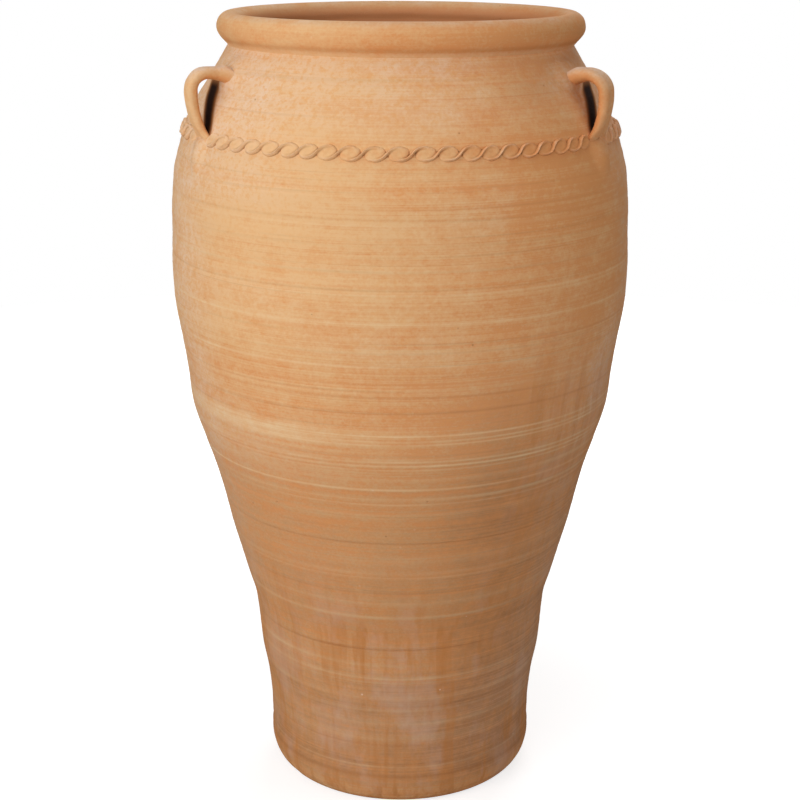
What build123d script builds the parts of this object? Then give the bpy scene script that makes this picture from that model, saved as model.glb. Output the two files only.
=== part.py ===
from build123d import *
import math
import os

# A tall three-handled storage jar (pithos) of thrown terracotta.
# Millimetres. The origin is the middle of the underside, +Z points out of the mouth, and -Y is the front.

# Jar: overall height, and the widest place of the belly
jar_height = 1100.0
belly_height = 762.0
belly_radius = 319.0

# Foot: a flat underside, a rounded edge, and the waist above it
rest_radius = 162.0
foot_radius = 194.0
foot_edge_height = 46.0
waist_height = 66.0
waist_radius = 190.0

# Wall and floor
wall = 20.0
floor_thickness = 28.0
floor_radius = 150.0
floor_corner_height = 34.0
drain_hole_radius = 17.5

# Rolled rim: from the groove under it to its crest
rim_height = 44.0
groove_radius = 236.0
rim_lip_rise = 7.0
rim_lip_reach = 5.0
rim_bulge_height = 24.0
rim_radius = 250.0
crest_radius = 233.0
mouth_radius = 214.0

# Thrown courses: each one's upper joint as a share of the jar's height, luted on a slope that rises inwards
course_top_shares = (
    ("foot_course", 0.205),
    ("lower_course", 0.382),
    ("middle_course", 0.538),
    ("belly_course", 0.718),
)
joint_rise = 12.0

# Outline of the body: shares of the way from the waist to the belly, then from the belly to the groove
lower_outline_shares = (
    (0.00, 0.000),
    (0.11, 0.058),
    (0.18, 0.124),
    (0.24, 0.153),
    (0.29, 0.188),
    (0.35, 0.275),
    (0.46, 0.438),
    (0.52, 0.512),
    (0.58, 0.596),
    (0.68, 0.772),
    (0.73, 0.838),
    (0.78, 0.866),
    (0.84, 0.912),
    (0.92, 0.978),
    (1.00, 1.000),
)
upper_outline_shares = (
    (0.00, 0.000),
    (0.15, 0.020),
    (0.30, 0.035),
    (0.44, 0.077),
    (0.50, 0.128),
    (0.58, 0.215),
    (0.68, 0.352),
    (0.77, 0.504),
    (0.83, 0.645),
    (0.91, 0.815),
    (1.00, 1.000),
)
outline_steps = 8

# Handles: a strap that leaves the shoulder level, bends down and comes back to the wall on a long arc
handle_top_drop = 27.0
handle_bend_radius = 22.0
handle_foot_drop = 118.0
handle_stand_off = 42.0
strap_width = 31.0
strap_thickness = 17.0
top_root_depth = 9.0
foot_root_depth = 11.0

# Each handle's direction, its width as a share of the strap's, and its stand-off as a share of the usual one
handle_shares = (
    ("handle_left", 210.0, 0.80, 1.10),
    ("handle_right", 330.0, 1.20, 0.90),
    ("handle_back", 90.0, 1.00, 1.00),
)

# The strap spreads towards its roots: shares of its length, of its width and of its thickness
strap_flare_shares = (
    (0.00, 1.80, 1.25),
    (0.12, 1.45, 1.12),
    (0.25, 1.10, 1.00),
    (0.45, 1.00, 1.00),
    (0.65, 1.00, 1.00),
    (0.85, 1.12, 1.05),
    (1.00, 1.45, 1.15),
)

# Rope bands: a low strip with a row of slanting, thumb-pressed lobes, between neighbouring handles
band_drop = 110.0
band_height = 17.0
band_thickness = 3.2
lobe_length = 34.0
lobe_width = 18.0
lobe_projection = 6.5
lobe_tilt = 22.0
lobe_count = 21
lobe_pitch_angle = 5.35
dish_radius = 16.0
dish_depth = 2.4
band_end_gap = 0.3
band_directions = (
    ("rope_band_front", 270.0),
    ("rope_band_right", 30.0),
    ("rope_band_left", 150.0),
)

# The layer of slip that handles and bands are luted on with
slip_thickness = 0.2

# How far a tool body or a sunken back runs past the surface that trims it
overrun = 4.0

# Heights that follow from the sizes above
groove_height = jar_height - rim_height
band_level = groove_height - band_drop


def follow(stations, share):
    """Read a table of outline shares as a smooth curve: cubic pieces with slopes from the neighbours."""
    last = len(stations) - 1
    place = 0
    while place < last - 1 and share > stations[place + 1][0]:
        place += 1

    def slope(index):
        before = stations[max(index - 1, 0)]
        after = stations[min(index + 1, last)]
        return (after[1] - before[1]) / (after[0] - before[0])

    low, high = stations[place], stations[place + 1]
    span = high[0] - low[0]
    t = (share - low[0]) / span
    return (
        (1 + 2 * t) * (1 - t) ** 2 * low[1]
        + t * (1 - t) ** 2 * span * slope(place)
        + t**2 * (3 - 2 * t) * high[1]
        - t**2 * (1 - t) * span * slope(place + 1)
    )


def outer_radius(height):
    """Radius of the body's outer face, from the waist to the groove under the rim."""
    if height < belly_height:
        share = (height - waist_height) / (belly_height - waist_height)
        return waist_radius + (belly_radius - waist_radius) * follow(lower_outline_shares, share)
    share = (height - belly_height) / (groove_height - belly_height)
    return belly_radius + (groove_radius - belly_radius) * follow(upper_outline_shares, share)


def outer_slope(height):
    """How fast the outer radius grows with height, measured over one wall thickness."""
    low = max(height - wall / 2, waist_height)
    high = min(height + wall / 2, groove_height)
    return (outer_radius(high) - outer_radius(low)) / (high - low)


def inner_radius(height):
    """Radius of the inner face, one wall thickness behind the outer face and square to it."""
    return outer_radius(height) - wall * math.hypot(1, outer_slope(height))


def face_line(radius_at, low, high):
    """A smooth line in the XZ plane that follows a radius from one height to another."""
    heights = [low + (high - low) * step / outline_steps for step in range(outline_steps + 1)]
    return Spline(*[(radius_at(height), 0, height) for height in heights])


def turned(*edges):
    """Revolve a closed outline in the XZ plane about the jar's axis."""
    return revolve(make_face(edges), Axis.Z, 360)


def make_floor_disc():
    """The thrown floor slab, with the drain hole through it."""
    slab = Cylinder(floor_radius, floor_thickness, align=(Align.CENTER, Align.CENTER, Align.MIN))
    hole_length = floor_thickness + 2 * overrun
    hole = Cylinder(drain_hole_radius, hole_length, align=(Align.CENTER, Align.CENTER, Align.MIN))
    return slab - Pos(0, 0, -overrun) * hole


def make_foot_course(top):
    """The lowest course: the rounded foot, the waist, and a coved corner inside above the floor."""
    cove_top = floor_thickness + floor_corner_height
    inner_start = max(cove_top, waist_height) + wall / 2
    top_inside = top + joint_rise
    disc_foot = (floor_radius, 0, 0)
    disc_top = (floor_radius, 0, floor_thickness)
    rest_edge = (rest_radius, 0, 0)
    foot_bulge = (foot_radius, 0, foot_edge_height)
    waist = (waist_radius, 0, waist_height)
    edge_width = foot_radius - rest_radius
    # A quarter ellipse from the flat underside to the foot's widest place, read at its middle
    edge_middle = (
        rest_radius + edge_width * math.sin(math.pi / 4),
        0,
        foot_edge_height * (1 - math.cos(math.pi / 4)),
    )
    inside_top = (inner_radius(top_inside), 0, top_inside)
    return turned(
        Line(disc_foot, rest_edge),
        Spline(rest_edge, edge_middle, foot_bulge, tangents=[(1, 0, 0), (0, 0, 1)]),
        Spline(foot_bulge, waist, tangents=[(0, 0, 1), (0, 0, 1)]),
        face_line(outer_radius, waist_height, top),
        Line((outer_radius(top), 0, top), inside_top),
        face_line(inner_radius, inner_start, top_inside),
        Spline(
            (inner_radius(inner_start), 0, inner_start),
            disc_top,
            tangents=[(0, 0, -1), (-1, 0, 0)],
        ),
        Line(disc_top, disc_foot),
    )


def make_course(low, high, rise):
    """One course of the wall between two luted joints; rise is the slope of its upper joint."""
    low_inside = low + joint_rise
    high_inside = high + rise
    return turned(
        face_line(outer_radius, low, high),
        Line((outer_radius(high), 0, high), (inner_radius(high_inside), 0, high_inside)),
        face_line(inner_radius, low_inside, high_inside),
        Line((inner_radius(low_inside), 0, low_inside), (outer_radius(low), 0, low)),
    )


def make_rim_roll():
    """The rolled rim on top of the neck: an undercut lip, a full outer bulge and a rounded mouth."""
    bulge_height = groove_height + rim_bulge_height
    crest_rise = jar_height - bulge_height
    quarter = math.sin(math.pi / 4)
    groove_inside = (inner_radius(groove_height), 0, groove_height)
    groove = (groove_radius, 0, groove_height)
    lip = (groove_radius + rim_lip_reach, 0, groove_height + rim_lip_rise)
    bulge = (rim_radius, 0, bulge_height)
    outer_middle = (crest_radius + (rim_radius - crest_radius) * quarter, 0, bulge_height + crest_rise * quarter)
    crest = (crest_radius, 0, jar_height)
    inner_middle = (crest_radius - (crest_radius - mouth_radius) * quarter, 0, bulge_height + crest_rise * quarter)
    mouth = (mouth_radius, 0, bulge_height)
    return turned(
        Line(groove_inside, groove),
        Line(groove, lip),
        Spline(lip, bulge, tangents=[(1, 0, 1), (0, 0, 1)]),
        Spline(bulge, outer_middle, crest, tangents=[(0, 0, 1), (-1, 0, 0)]),
        Spline(crest, inner_middle, mouth, tangents=[(-1, 0, 0), (0, 0, -1)]),
        Line(mouth, groove_inside),
    )


def seat_radius(height):
    """Radius of the seat that the handles and bands are luted on, a layer of slip outside the body."""
    return outer_radius(height) + slip_thickness


def make_shoulder_core(low):
    """The space inside the seat on the shoulder, which trims the backs of the handles."""
    return turned(
        Line((0, 0, low), (seat_radius(low), 0, low)),
        face_line(seat_radius, low, groove_height),
        Line((seat_radius(groove_height), 0, groove_height), (0, 0, groove_height)),
        Line((0, 0, groove_height), (0, 0, low)),
    )


def make_handle(core, direction, width, stand_off):
    """One strap handle, lofted through ellipses that widen towards both roots, and seated on the shoulder."""
    top = groove_height - handle_top_drop
    bend_end = top - handle_bend_radius
    foot = groove_height - handle_foot_drop
    reach = outer_radius(bend_end) + stand_off
    top_root = (outer_radius(top) - top_root_depth, 0, top)
    foot_root = (outer_radius(foot) - foot_root_depth, 0, foot)
    bend_start = (reach - handle_bend_radius, 0, top)
    level = Line(top_root, bend_start)
    bend = TangentArc(bend_start, (reach, 0, bend_end), tangent=level % 1)
    fall = TangentArc((reach, 0, bend_end), foot_root, tangent=bend % 1)
    path = Wire([level, bend, fall])
    sections = []
    for place, width_share, thickness_share in strap_flare_shares:
        across = Plane(origin=path @ place, x_dir=(0, 1, 0), z_dir=path % place)
        half_width = width * width_share / 2
        half_thickness = strap_thickness * thickness_share / 2
        sections.append(across * Ellipse(half_width, half_thickness))
    strap = loft(sections)
    return Rot(0, 0, direction) * strap - core


def make_band_stop(direction, width):
    """The space that a handle's root takes up along the band, with a small gap at each side."""
    root_width = width * strap_flare_shares[-1][1] + 2 * band_end_gap
    stop = Box(lobe_length, root_width, 2 * band_height)
    return Rot(0, 0, direction) * Pos(outer_radius(band_level), 0, band_level) * stop


def make_lobe_seat(angle):
    """A plane on the wall at the band's level: x along the band, z square out of the wall."""
    lean = math.atan(-outer_slope(band_level))
    turn = math.radians(angle)
    radius = outer_radius(band_level)
    seat = (radius * math.cos(turn), radius * math.sin(turn), band_level)
    along = (-math.sin(turn), math.cos(turn), 0)
    outwards = (math.cos(lean) * math.cos(turn), math.cos(lean) * math.sin(turn), math.sin(lean))
    return Plane(origin=seat, x_dir=along, z_dir=outwards)


def make_band_seat():
    """The space behind the bands: a cone that touches the slip layer at the band's level, with its seam at -X."""
    half_height = 2 * band_height
    radius = seat_radius(band_level)
    lean = outer_slope(band_level)
    seat = Cone(radius - lean * half_height, radius + lean * half_height, 2 * half_height)
    return Pos(0, 0, band_level) * Rot(0, 0, 180) * seat


def make_rope_band():
    """A band about the +X direction: a low strip, its slanting lobes, and a thumb's dish pressed into each."""
    span = lobe_pitch_angle * (lobe_count - 1)
    lean = outer_slope(band_level)
    radius = seat_radius(band_level)
    rise = band_height / 2
    low = (radius - lean * rise, 0, band_level - rise)
    high = (radius + lean * rise, 0, band_level + rise)
    high_back = (high[0] - overrun, 0, high[2])
    low_back = (low[0] - overrun, 0, low[2])
    strip_outline = make_face([
        ThreePointArc(low, (radius + band_thickness, 0, band_level), high),
        Line(high, high_back),
        Line(high_back, low_back),
        Line(low_back, low),
    ])
    strip_angle = span + lobe_pitch_angle / 2
    strip = Rot(0, 0, -strip_angle / 2) * revolve(strip_outline, Axis.Z, strip_angle)

    half_lobe = make_face([
        EllipticalCenterArc((0, 0), lobe_length / 2, lobe_width / 2, arc_size=180),
        Line((-lobe_length / 2, 0), (lobe_length / 2, 0)),
    ])
    lobe = revolve(half_lobe, Axis.X, 360)
    lobe_lift = lobe_projection - lobe_width / 2
    dish_lift = lobe_projection - dish_depth + dish_radius

    lobes = []
    dishes = []
    for number in range(lobe_count):
        seat = Location(make_lobe_seat(lobe_pitch_angle * number - span / 2))
        lobes.append(seat * Pos(0, 0, lobe_lift) * Rot(0, 0, lobe_tilt) * lobe)
        dishes.append(seat * Pos(0, 0, dish_lift) * Sphere(dish_radius))
    return strip.fuse(*lobes).cut(*dishes).cut(make_band_seat())


def main():
    os.makedirs("parts", exist_ok=True)
    nodes = {"floor_disc": make_floor_disc()}

    low = 0.0
    for name, top_share in course_top_shares:
        top = jar_height * top_share
        if low == 0.0:
            nodes[name] = make_foot_course(top)
        else:
            nodes[name] = make_course(low, top, joint_rise)
        low = top
    nodes["shoulder_course"] = make_course(low, groove_height, 0.0)
    nodes["rim_roll"] = make_rim_roll()

    core = make_shoulder_core(low)
    stops = []
    for name, direction, width_share, stand_off_share in handle_shares:
        width = strap_width * width_share
        nodes[name] = make_handle(core, direction, width, handle_stand_off * stand_off_share)
        stops.append(make_band_stop(direction, width))
    band = make_rope_band()
    for name, direction in band_directions:
        nodes[name] = (Rot(0, 0, direction) * band).cut(*stops)

    for name, shape in nodes.items():
        shape.label = name
        export_step(shape, os.path.join("parts", name + ".step"))
        print(name, "volume", round(shape.volume / 1000), "cm3")


main()
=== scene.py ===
# %% [markdown]
# A pithos is a storage jar as tall as a child, thrown in courses, one on top of the other, so its wall is never
# quite even: turning lines, rings where courses were luted, pale slip dragged round by a wet hand, and salts that
# bloom on the shoulder. The CAD decides every size. The pieces here repeat its outline and add what a hand leaves.

# %% Load the fixed frame
import math

import bpy
import numpy as np
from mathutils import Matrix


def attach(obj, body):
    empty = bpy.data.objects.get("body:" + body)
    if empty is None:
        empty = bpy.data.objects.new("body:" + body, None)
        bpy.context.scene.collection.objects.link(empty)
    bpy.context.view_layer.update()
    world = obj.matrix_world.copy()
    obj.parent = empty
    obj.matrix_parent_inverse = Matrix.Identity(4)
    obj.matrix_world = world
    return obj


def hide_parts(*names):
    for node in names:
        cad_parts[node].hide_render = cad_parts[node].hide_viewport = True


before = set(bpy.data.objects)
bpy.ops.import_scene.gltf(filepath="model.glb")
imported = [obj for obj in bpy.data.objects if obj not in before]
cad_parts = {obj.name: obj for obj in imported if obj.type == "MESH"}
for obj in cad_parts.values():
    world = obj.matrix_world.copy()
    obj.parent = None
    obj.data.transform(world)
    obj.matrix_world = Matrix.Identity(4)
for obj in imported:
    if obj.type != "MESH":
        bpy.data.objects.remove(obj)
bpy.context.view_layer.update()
MM = 0.001

# %% [markdown]
# The camera decides how large each mark has to be. It looks down on the rim by sixteen degrees, so that the mouth
# shows as a thin ellipse and the foot curves strongly.

# %% Camera
SENSOR_WIDTH, LENS = 36, 76.706
CAMERA_PLACE, CAMERA_PITCH = (0, -2.3639, 1.2379), 16.2215


def add_object(name, data):
    """Put a mesh, a lamp or a camera into the scene as an object of its own."""
    thing = bpy.data.objects.new(name, data)
    bpy.context.scene.collection.objects.link(thing)
    return thing


camera_data = bpy.data.cameras.new("view_camera")
camera_data.sensor_width, camera_data.lens = SENSOR_WIDTH, LENS
camera = add_object("view_camera", camera_data)
camera.location = CAMERA_PLACE
camera.rotation_euler = (math.radians(90 - CAMERA_PITCH), 0, 0)
bpy.context.scene.camera = camera
bpy.context.scene.view_settings.view_transform = "Standard"
print("camera field of view:", round(math.degrees(camera_data.angle), 2), "degrees")


# %% [markdown]
# A studio for a matte pot is mostly big soft lamps. Each here is a square that faces the belly. A row says from
# where (degrees from the front, positive to the right, and degrees up), how far, how wide, and the level of light
# it gives square on: 1 would render a colour as it is written.

# %% Lamps
LAMP_TARGET = (0, 0, 0.70)
LAMPS = (
    ("key_left", -40, 15, 3.0, 1.5, 0.315),
    ("front_left", -10, 15, 3.0, 1.4, 0.265),
    ("far_left", -75, 15, 3.0, 1.6, 0.130),
    ("right", 75, 15, 3.0, 1.6, 0.165),
    ("over_mouth", -20, 80, 1.9, 1.2, 0.225),
    ("back", 165, 30, 3.2, 2.0, 0.420),
)
AMBIENT_LEVEL = 0.12


def add_lamp(name, azimuth, elevation, distance, width, level):
    """A square area lamp on a sphere round the belly. Power = level x (pi x distance) squared."""
    turn, rise = math.radians(azimuth), math.radians(elevation)
    away = np.array([math.sin(turn) * math.cos(rise), -math.cos(turn) * math.cos(rise), math.sin(rise)])
    data = bpy.data.lights.new(name, "AREA")
    data.shape = "SQUARE"
    data.size = width
    data.energy = level * math.pi * math.pi * distance**2
    lamp = add_object(name, data)
    lamp.location = np.array(LAMP_TARGET) + away * distance
    lamp.rotation_euler = (math.pi / 2 - rise, 0, turn)
    return lamp


for row in LAMPS:
    lamp = add_lamp(*row)
    print(lamp.name, [round(part, 2) for part in lamp.location], round(lamp.data.energy, 1), "W")


# %% [markdown]
# A material is a small graph. These helpers make a node, set its options and wire or fill its inputs in one call,
# so that a graph reads like a recipe. A value knows the graph it belongs to (id_data).

# %% Node helpers
def add_node(tree, kind, inputs=None, **options):
    """Make a node. Options are its settings; inputs maps a socket's name or number to a value or to an output."""
    node = tree.nodes.new("ShaderNode" + kind)
    for option, value in options.items():
        setattr(node, option, value)
    for socket, value in (inputs or {}).items():
        if isinstance(value, bpy.types.NodeSocket):
            tree.links.new(value, node.inputs[socket])
        else:
            node.inputs[socket].default_value = value
    return node


def new_tree(owner):
    """Switch a material or world to nodes and hand back its empty graph."""
    owner.use_nodes = True
    owner.node_tree.nodes.clear()
    return owner.node_tree


def reckon(first, second, operation):
    """One value made of two by a math node."""
    return add_node(first.id_data, "Math", {0: first, 1: second}, operation=operation).outputs[0]


def times(first, second):
    """Product of two values."""
    return reckon(first, second, "MULTIPLY")


def plus(first, second):
    """Sum of two values."""
    return reckon(first, second, "ADD")


def steps(value, low, high, floor_value=0.0, ceiling=1.0, **options):
    """Map a value between two levels to a range, clamped."""
    levels = {"Value": value, "From Min": low, "From Max": high, "To Min": floor_value, "To Max": ceiling}
    return add_node(value.id_data, "MapRange", levels, **options).outputs[0]


def tint(share, under, over):
    """Lay one colour over another by a share."""
    return add_node(share.id_data, "Mix", {"Factor": share, 6: under, 7: over}, data_type="RGBA").outputs[2]


# %% [markdown]
# The world gives the even light of a white room. The camera sees it as plain white, which Light Path tells apart
# from the light that falls on the clay.

# %% World
world = bpy.data.worlds.new("white_room")
bpy.context.scene.world = world
tree = new_tree(world)
rays = add_node(tree, "LightPath").outputs
seen = reckon(rays["Is Camera Ray"], rays["Is Glossy Ray"], "MAXIMUM")
seen = reckon(seen, rays["Is Transmission Ray"], "MAXIMUM")
level = steps(seen, 0.0, 1.0, AMBIENT_LEVEL, 1.0)
shine = add_node(tree, "Background", {"Color": (1, 1, 1, 1), "Strength": level})
add_node(tree, "OutputWorld", {"Surface": shine.outputs[0]})
print("room:", world.name, "at", AMBIENT_LEVEL)

# %% [markdown]
# The floor is a white disc. A lift of light, for the camera only, grows outwards, so that the disc melts into the
# white room while the soft shadow at the foot stays.

# %% Floor
FLOOR_RADIUS, FLOOR_CORNERS, FLOOR_GREY = 3.2, 128, (0.55, 0.55, 0.55, 1)
LIFT_START, LIFT_END, LIFT_LOW = 0.3, 1.6, 0.72
turns = np.linspace(0, 2 * math.pi, FLOOR_CORNERS, endpoint=False)
circle = FLOOR_RADIUS * np.stack([np.cos(turns), np.sin(turns), 0.0 * turns], axis=1)
floor_mesh = bpy.data.meshes.new("studio_floor")
floor_mesh.from_pydata(circle.tolist(), [], [list(range(FLOOR_CORNERS))])
floor = add_object("studio_floor", floor_mesh)
white_floor = bpy.data.materials.new("white_floor")
tree = new_tree(white_floor)
place = add_node(tree, "TexCoord").outputs["Object"]
reach = add_node(tree, "VectorMath", {0: place}, operation="LENGTH").outputs["Value"]
lift = steps(reach, LIFT_START, LIFT_END, LIFT_LOW, 1.0, interpolation_type="SMOOTHSTEP")
lift = times(lift, add_node(tree, "LightPath").outputs["Is Camera Ray"])
matte = add_node(tree, "BsdfDiffuse", {"Color": FLOOR_GREY})
glow = add_node(tree, "Emission", {"Color": (1, 1, 1, 1), "Strength": lift})
both = add_node(tree, "AddShader", {0: matte.outputs[0], 1: glow.outputs[0]})
add_node(tree, "OutputMaterial", {"Surface": both.outputs[0]})
floor_mesh.materials.append(white_floor)
print("floor:", floor.name, "of", FLOOR_RADIUS, "m radius")

# %% [markdown]
# The body's outline is the CAD's: shares of the way from the waist to the belly and from there to the groove under
# the rim, joined by cubic pieces, read here for a whole array of heights at once.

# %% Outline of the body, in millimetres
JAR_HEIGHT = 1100.0
BELLY_HEIGHT, BELLY_RADIUS = 762.0, 319.0
WAIST_HEIGHT, WAIST_RADIUS = 66.0, 190.0
FOOT_RADIUS, REST_RADIUS, FOOT_EDGE = 194.0, 162.0, 46.0
GROOVE_HEIGHT, GROOVE_RADIUS = 1056.0, 236.0
WALL = 20.0
FLOOR_RADIUS_INSIDE, FLOOR_THICKNESS = 150.0, 28.0
JOINT_HEIGHTS = (225.5, 420.2, 591.8, 789.8)
JOINT_RISE = 12.0
LOWER_OUTLINE = (
    (0, 0), (0.11, 0.058), (0.18, 0.124), (0.24, 0.153), (0.29, 0.188), (0.35, 0.275), (0.46, 0.438), (0.52, 0.512),
    (0.58, 0.596), (0.68, 0.772), (0.73, 0.838), (0.78, 0.866), (0.84, 0.912), (0.92, 0.978), (1, 1),
)
UPPER_OUTLINE = (
    (0, 0), (0.15, 0.02), (0.3, 0.035), (0.44, 0.077), (0.5, 0.128), (0.58, 0.215), (0.68, 0.352), (0.77, 0.504),
    (0.83, 0.645), (0.91, 0.815), (1, 1),
)


def cubic(t, a, p, b, q):
    """From a along p to b along q: (1 + 2t)(1 - t)^2 a + t(1 - t)^2 p + t^2(3 - 2t) b - t^2(1 - t) q."""
    return (1 + 2 * t) * (1 - t) ** 2 * a + t * (1 - t) ** 2 * p + t**2 * (3 - 2 * t) * b - t**2 * (1 - t) * q


def follow(stations, share):
    """A cubic piece between each two stations, with end slopes that come from the neighbours on both sides."""
    table = np.array(stations)
    last = len(table) - 1
    before, after = np.maximum(np.arange(last + 1) - 1, 0), np.minimum(np.arange(last + 1) + 1, last)
    slopes = (table[after, 1] - table[before, 1]) / (table[after, 0] - table[before, 0])
    low = np.clip(np.searchsorted(table[:, 0], share, side="left") - 1, 0, last - 1)
    span = table[low + 1, 0] - table[low, 0]
    t = (share - table[low, 0]) / span
    return cubic(t, table[low, 1], span * slopes[low], table[low + 1, 1], span * slopes[low + 1])


def outer_radius(height):
    """Radius of the wall's outer face: waist to belly by the lower table, belly to groove by the upper one."""
    height = np.asarray(height, dtype=float)
    lower = (height - WAIST_HEIGHT) / (BELLY_HEIGHT - WAIST_HEIGHT)
    upper = (height - BELLY_HEIGHT) / (GROOVE_HEIGHT - BELLY_HEIGHT)
    below = WAIST_RADIUS + (BELLY_RADIUS - WAIST_RADIUS) * follow(LOWER_OUTLINE, np.clip(lower, 0, 1))
    above = BELLY_RADIUS + (GROOVE_RADIUS - BELLY_RADIUS) * follow(UPPER_OUTLINE, np.clip(upper, 0, 1))
    return np.where(height < BELLY_HEIGHT, below, above)


def outer_slope(height):
    """Growth of the radius per unit of height, over one wall thickness."""
    low = np.maximum(height - WALL / 2, WAIST_HEIGHT)
    high = np.minimum(height + WALL / 2, GROOVE_HEIGHT)
    return (outer_radius(high) - outer_radius(low)) / (high - low)


def inner_radius(height):
    """The inner face, one wall thickness behind the outer face, square to it."""
    return outer_radius(height) - WALL * np.hypot(1, outer_slope(height))


belly_inside = round(float(inner_radius(BELLY_HEIGHT)), 1)
print("belly", float(outer_radius(BELLY_HEIGHT)), "mm; inside there", belly_inside, "mm")


# %% [markdown]
# A hand never makes the same mark twice, so most marks come from smooth noise: random values at whole steps of a
# grid, eased into one another. Round the jar the grid closes on itself, so there is no seam at the back.

# %% Smooth noise in bands and in clouds
BAND_VALUES, CLOUD_ROWS = 4096, 1024


def ease(t):
    """Three t squared minus two t cubed: flat at both ends."""
    return t * t * (3 - 2 * t)


def bands(height, step, seed):
    """Noise that depends on height only, from -1 to 1, with one random value per step."""
    values = np.random.default_rng(seed).uniform(-1, 1, BAND_VALUES)
    place = np.asarray(height) / step + 200.0
    low = np.floor(place).astype(int)
    t = ease(place - low)
    return values[low % BAND_VALUES] * (1 - t) + values[(low + 1) % BAND_VALUES] * t


def clouds(angle, height, around, step, seed):
    """Noise over the wall, -1 to 1: `around` random values per turn, a row per step of height, eased both ways."""
    values = np.random.default_rng(seed).uniform(-1, 1, (CLOUD_ROWS, around))
    across = np.asarray(angle) / (2 * math.pi) * around
    up = np.asarray(height) / step + 50.0
    column, row = np.floor(across).astype(int), np.floor(up).astype(int)
    s, t = ease(across - column), ease(up - row)
    left, right = column % around, (column + 1) % around
    low, high = row % CLOUD_ROWS, (row + 1) % CLOUD_ROWS
    return (values[low, left] * (1 - s) + values[low, right] * s) * (1 - t) + (
        values[high, left] * (1 - s) + values[high, right] * s
    ) * t


def bump(distance, width):
    """A bell: exp of minus half the squared distance over width."""
    return np.exp(-0.5 * (distance / width) ** 2)


def rises(value, low, high):
    """0 below low, 1 above high, eased between."""
    return ease(np.clip((value - low) / (high - low), 0, 1))


def falls(value, low, high):
    """1 below low, 0 above high, eased between."""
    return ease(np.clip((high - value) / (high - low), 0, 1))


# %% [markdown]
# Angles run round the jar from the front, positive to the right as one looks at it. The columns of every wall mesh
# lie closer together at the handles.

# %% Angles round the jar
STRAP_WIDTH, STRAP_THICKNESS, STAND_OFF = 31.0, 17.0, 42.0
HANDLE_KEYS = ("angle", "width", "stand_off", "slimming", "bulge", "pinch")
HANDLE_ROWS = {
    # direction in degrees, width and stand-off, share of the width lost in the middle, swelling of the arc in
    # millimetres, and how far the upper root is pinched, from 0 to 1
    "handle_left": (-60.0, STRAP_WIDTH * 0.80, STAND_OFF * 1.10, 0.20, 0.0, 0.1),
    "handle_right": (60.0, STRAP_WIDTH * 1.20, STAND_OFF * 0.90, 0.26, 3.0, 0.6),
    "handle_back": (180.0, STRAP_WIDTH, STAND_OFF, 0.12, 1.0, 0.4),
}
HANDLES = {name: dict(zip(HANDLE_KEYS, row)) for name, row in HANDLE_ROWS.items()}
HANDLE_TOP, BEND_RADIUS, HANDLE_FOOT = GROOVE_HEIGHT - 27.0, 22.0, GROOVE_HEIGHT - 118.0
BAND_LEVEL = GROOVE_HEIGHT - 110.0
COARSE_STEP, FINE_STEP, FINE_REACH = 1.5, 0.5, 17

fine = np.arange(-FINE_REACH, FINE_REACH + 0.01, FINE_STEP)
columns = np.concatenate([np.arange(0, 360, COARSE_STEP), *[fine + handle["angle"] for handle in HANDLES.values()]])
column_angles = np.radians(np.unique(np.round(columns % 360, 3)))
print("columns round each wall mesh:", len(column_angles))


def angle_apart(angle, degrees):
    """The angle from a direction given in degrees, wrapped to plus or minus half a turn, in radians."""
    return (angle - math.radians(degrees) + math.pi) % (2 * math.pi) - math.pi


def degrees_apart(angle, degrees=0.0):
    """The same in degrees, from the front if no other direction is given."""
    return np.degrees(angle_apart(angle, degrees))


def not_behind(apart):
    """1 at the front and the right and 0 at the back, so that what marks the right side ends before the back."""
    return falls(apart, 100, 150)


# %% [markdown]
# The relief of the thrown wall is the sum of marks of different sizes: a slow swell where the hands paused, ridges
# about a finger apart, fine turning lines, and a few grooves that fade as they go round. Where a handle is luted
# on, the clay is smeared up towards it. The face is sunk a little, so that no mark rises past the CAD's.

# %% Relief of the outer face
SUNK_BY = 0.75
GROOVE_SEED, SLIP_SEED, SLIP_EDGE_SEED = 40, 70, 90
GROOVES = (
    # height, depth, half width, the side where it is strongest in degrees, how far it reaches round in degrees
    (48, 0.9, 2.2, 0, 200), (251, 1.1, 1.3, -10, 75), (425, 0.6, 1.2, 0, 120), (448, 0.3, 1.2, 30, 90),
    (619, 0.75, 1.2, 20, 110), (640, 0.35, 1, 25, 90), (781, 0.35, 1.2, -20, 140), (804, 0.35, 1.2, 0, 120),
    (836, 0.2, 1.1, 20, 120), (868, 0.25, 1.2, -40, 120), (700, 0.3, 1, 20, 90), (560, 0.3, 1, 0, 90),
    (345, 0.3, 1.2, 0, 120), (160, 0.35, 1.4, 30, 120), (97, 0.4, 1.6, 0, 150),
)
SMEARS = (
    # height, reach up and down, reach beyond the strap's sides, rise, and the power that shapes the bell
    (HANDLE_TOP - 3, 25.0, 24.0, 8.5, 1.8),
    (HANDLE_FOOT - 7, 36.0, 11.0, 7.0, 1.7),
)


def groove_fade(angle, middle, spread, seed):
    """How strong a groove is round the jar: a bell about its strongest side, broken up by slow noise."""
    broken = 0.75 + 0.25 * clouds(angle, 0.0 * angle, 26, 100.0, seed)
    return bump(degrees_apart(angle, middle), spread / 2) * broken


def drifted(angle, height):
    """Height as the wheel's slow wobble carries it; grooves and lines follow it round the jar."""
    return height + 1.5 * clouds(angle, height, 3, 160.0, 5)


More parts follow.
